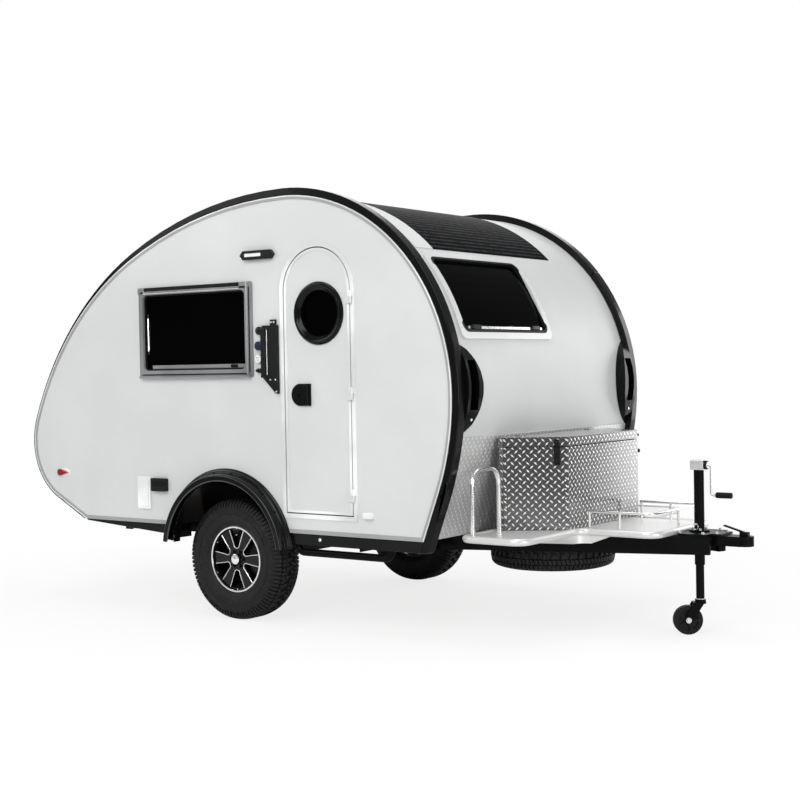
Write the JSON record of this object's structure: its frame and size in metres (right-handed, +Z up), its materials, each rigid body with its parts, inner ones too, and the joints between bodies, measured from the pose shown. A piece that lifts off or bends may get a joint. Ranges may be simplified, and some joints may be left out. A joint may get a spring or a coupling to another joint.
{
  "type": "camper trailer",
  "caption": "Teardrop camper trailer with a side door, porthole, tinted windows, front tread-plate tub and deck, tongue jack and fold-down corner stabilisers.",
  "frame": {"origin": "on the ground, below the middle of the whole length and width", "axes": "+X forward to the hitch, +Y to the left side, +Z up"},
  "size_m": [4.4589, 2.144, 2.449],
  "materials": {
    "frame_black": "satin black paint",
    "wall_white": "gloss white composite wall",
    "panel_silver": "metallic silver sheet",
    "tread_plate": "bright tread plate",
    "trim_black": "satin black moulding",
    "gloss_black": "gloss black moulding",
    "bright_trim": "bright moulding",
    "window_grey": "grey window frame",
    "pane_dark": "dark tinted acrylic",
    "floor_ply": "sealed plywood",
    "solar": "dark solar cells",
    "tyre": "black rubber",
    "rim": "black with machined edges",
    "jack_black": "gloss black",
    "jack_zinc": "bright zinc plate",
    "bright_tube": "bright bent tube",
    "rubber": "black rubber",
    "lamp_red": "red lens",
    "lamp_black": "black lamp body",
    "vent_white": "white moulding",
    "fittings": "small fittings"
  },
  "bodies": {
    "trailer": {"frame": "frame_black", "axle": "frame_black", "coupler": "frame_black", "floor": "floor_ply", "wheel_wells": "trim_black", "wall_right": "wall_white", "wall_left": "wall_white", "front_panel": "panel_silver", "apron": "tread_plate", "roof_panel": "panel_silver", "rear_panel": "panel_silver", "roof_rails": "trim_black", "front_rails": "gloss_black", "edge_mouldings": "bright_trim", "sills": "trim_black", "fenders": "trim_black", "step_bars": "frame_black", "door_frame": "wall_white", "window_frames": "window_grey", "end_window_frames": "bright_trim", "window_panes": "pane_dark", "solar_panel": "solar", "grab_handles": "gloss_black", "tub": "tread_plate", "tub_latches": "rubber", "deck": "tread_plate", "deck_rail": "bright_tube", "hoops": "bright_tube", "jack_tube": "jack_black", "jack_crank": "jack_zinc", "spare_tyre": "tyre", "spare_rim": "rim", "porch_light": "lamp_black", "side_markers": "lamp_red", "tail_lamps": "lamp_red", "vents": "vent_white", "table_bracket": "fittings", "sockets": "fittings", "roof_vent": "vent_white"},
    "wheel_right": {"tyre_right": "tyre", "rim_right": "rim"},
    "wheel_left": {"tyre_left": "tyre", "rim_left": "rim"},
    "door": {"door_leaf": "wall_white", "porthole_ring": "gloss_black", "porthole_glass": "pane_dark", "door_handle": "gloss_black"},
    "lid": {"tub_lid": "tread_plate"},
    "leg": {"jack_leg": "jack_black"},
    "caster": {"jack_fork": "jack_black"},
    "caster_wheel": {"jack_wheel": "rubber"},
    "leg_front_right": {"stabiliser_front_right": "frame_black"},
    "leg_front_left": {"stabiliser_front_left": "frame_black"},
    "leg_rear_right": {"stabiliser_rear_right": "frame_black"},
    "leg_rear_left": {"stabiliser_rear_left": "frame_black"}
  },
  "joints": [
    {"name": "wheel_right_spin", "type": "hinge", "parent": "trailer", "child": "wheel_right", "pos_m": [-0.52455, -0.876, 0.352], "axis": [0, 1, 0], "continuous": true},
    {"name": "wheel_left_spin", "type": "hinge", "parent": "trailer", "child": "wheel_left", "pos_m": [-0.52455, 0.876, 0.352], "axis": [0, 1, 0], "continuous": true},
    {"name": "door_swing", "type": "hinge", "parent": "trailer", "child": "door", "pos_m": [0.39395, -1.014, 1.3], "axis": [0, 0, 1], "range_deg": [0, 160]},
    {"name": "lid_lift", "type": "hinge", "parent": "trailer", "child": "lid", "pos_m": [1.04245, 0, 1.062], "axis": [0, -1, 0], "range_deg": [0, 80]},
    {"name": "jack_slide", "type": "slide", "parent": "trailer", "child": "leg", "axis": [0, 0, 1], "range_m": [0, 0.175]},
    {"name": "caster_swivel", "type": "hinge", "parent": "leg", "child": "caster", "pos_m": [1.92945, 0, 0.18], "axis": [0, 0, 1], "continuous": true},
    {"name": "caster_wheel_spin", "type": "hinge", "parent": "caster", "child": "caster_wheel", "pos_m": [1.87444, -0.03997, 0.077], "axis": [0.5878, -0.809, 0], "continuous": true},
    {"name": "leg_front_right_fold", "type": "hinge", "parent": "trailer", "child": "leg_front_right", "pos_m": [0.68545, -0.7, 0.473], "axis": [0, -1, 0], "range_deg": [0, 90]},
    {"name": "leg_front_left_fold", "type": "hinge", "parent": "trailer", "child": "leg_front_left", "pos_m": [0.68545, 0.7, 0.473], "axis": [0, -1, 0], "range_deg": [0, 90]},
    {"name": "leg_rear_right_fold", "type": "hinge", "parent": "trailer", "child": "leg_rear_right", "pos_m": [-1.63366, -0.7, 0.473], "axis": [0, 1, 0], "range_deg": [0, 90]},
    {"name": "leg_rear_left_fold", "type": "hinge", "parent": "trailer", "child": "leg_rear_left", "pos_m": [-1.63366, 0.7, 0.473], "axis": [0, 1, 0], "range_deg": [0, 90]}
  ]
}
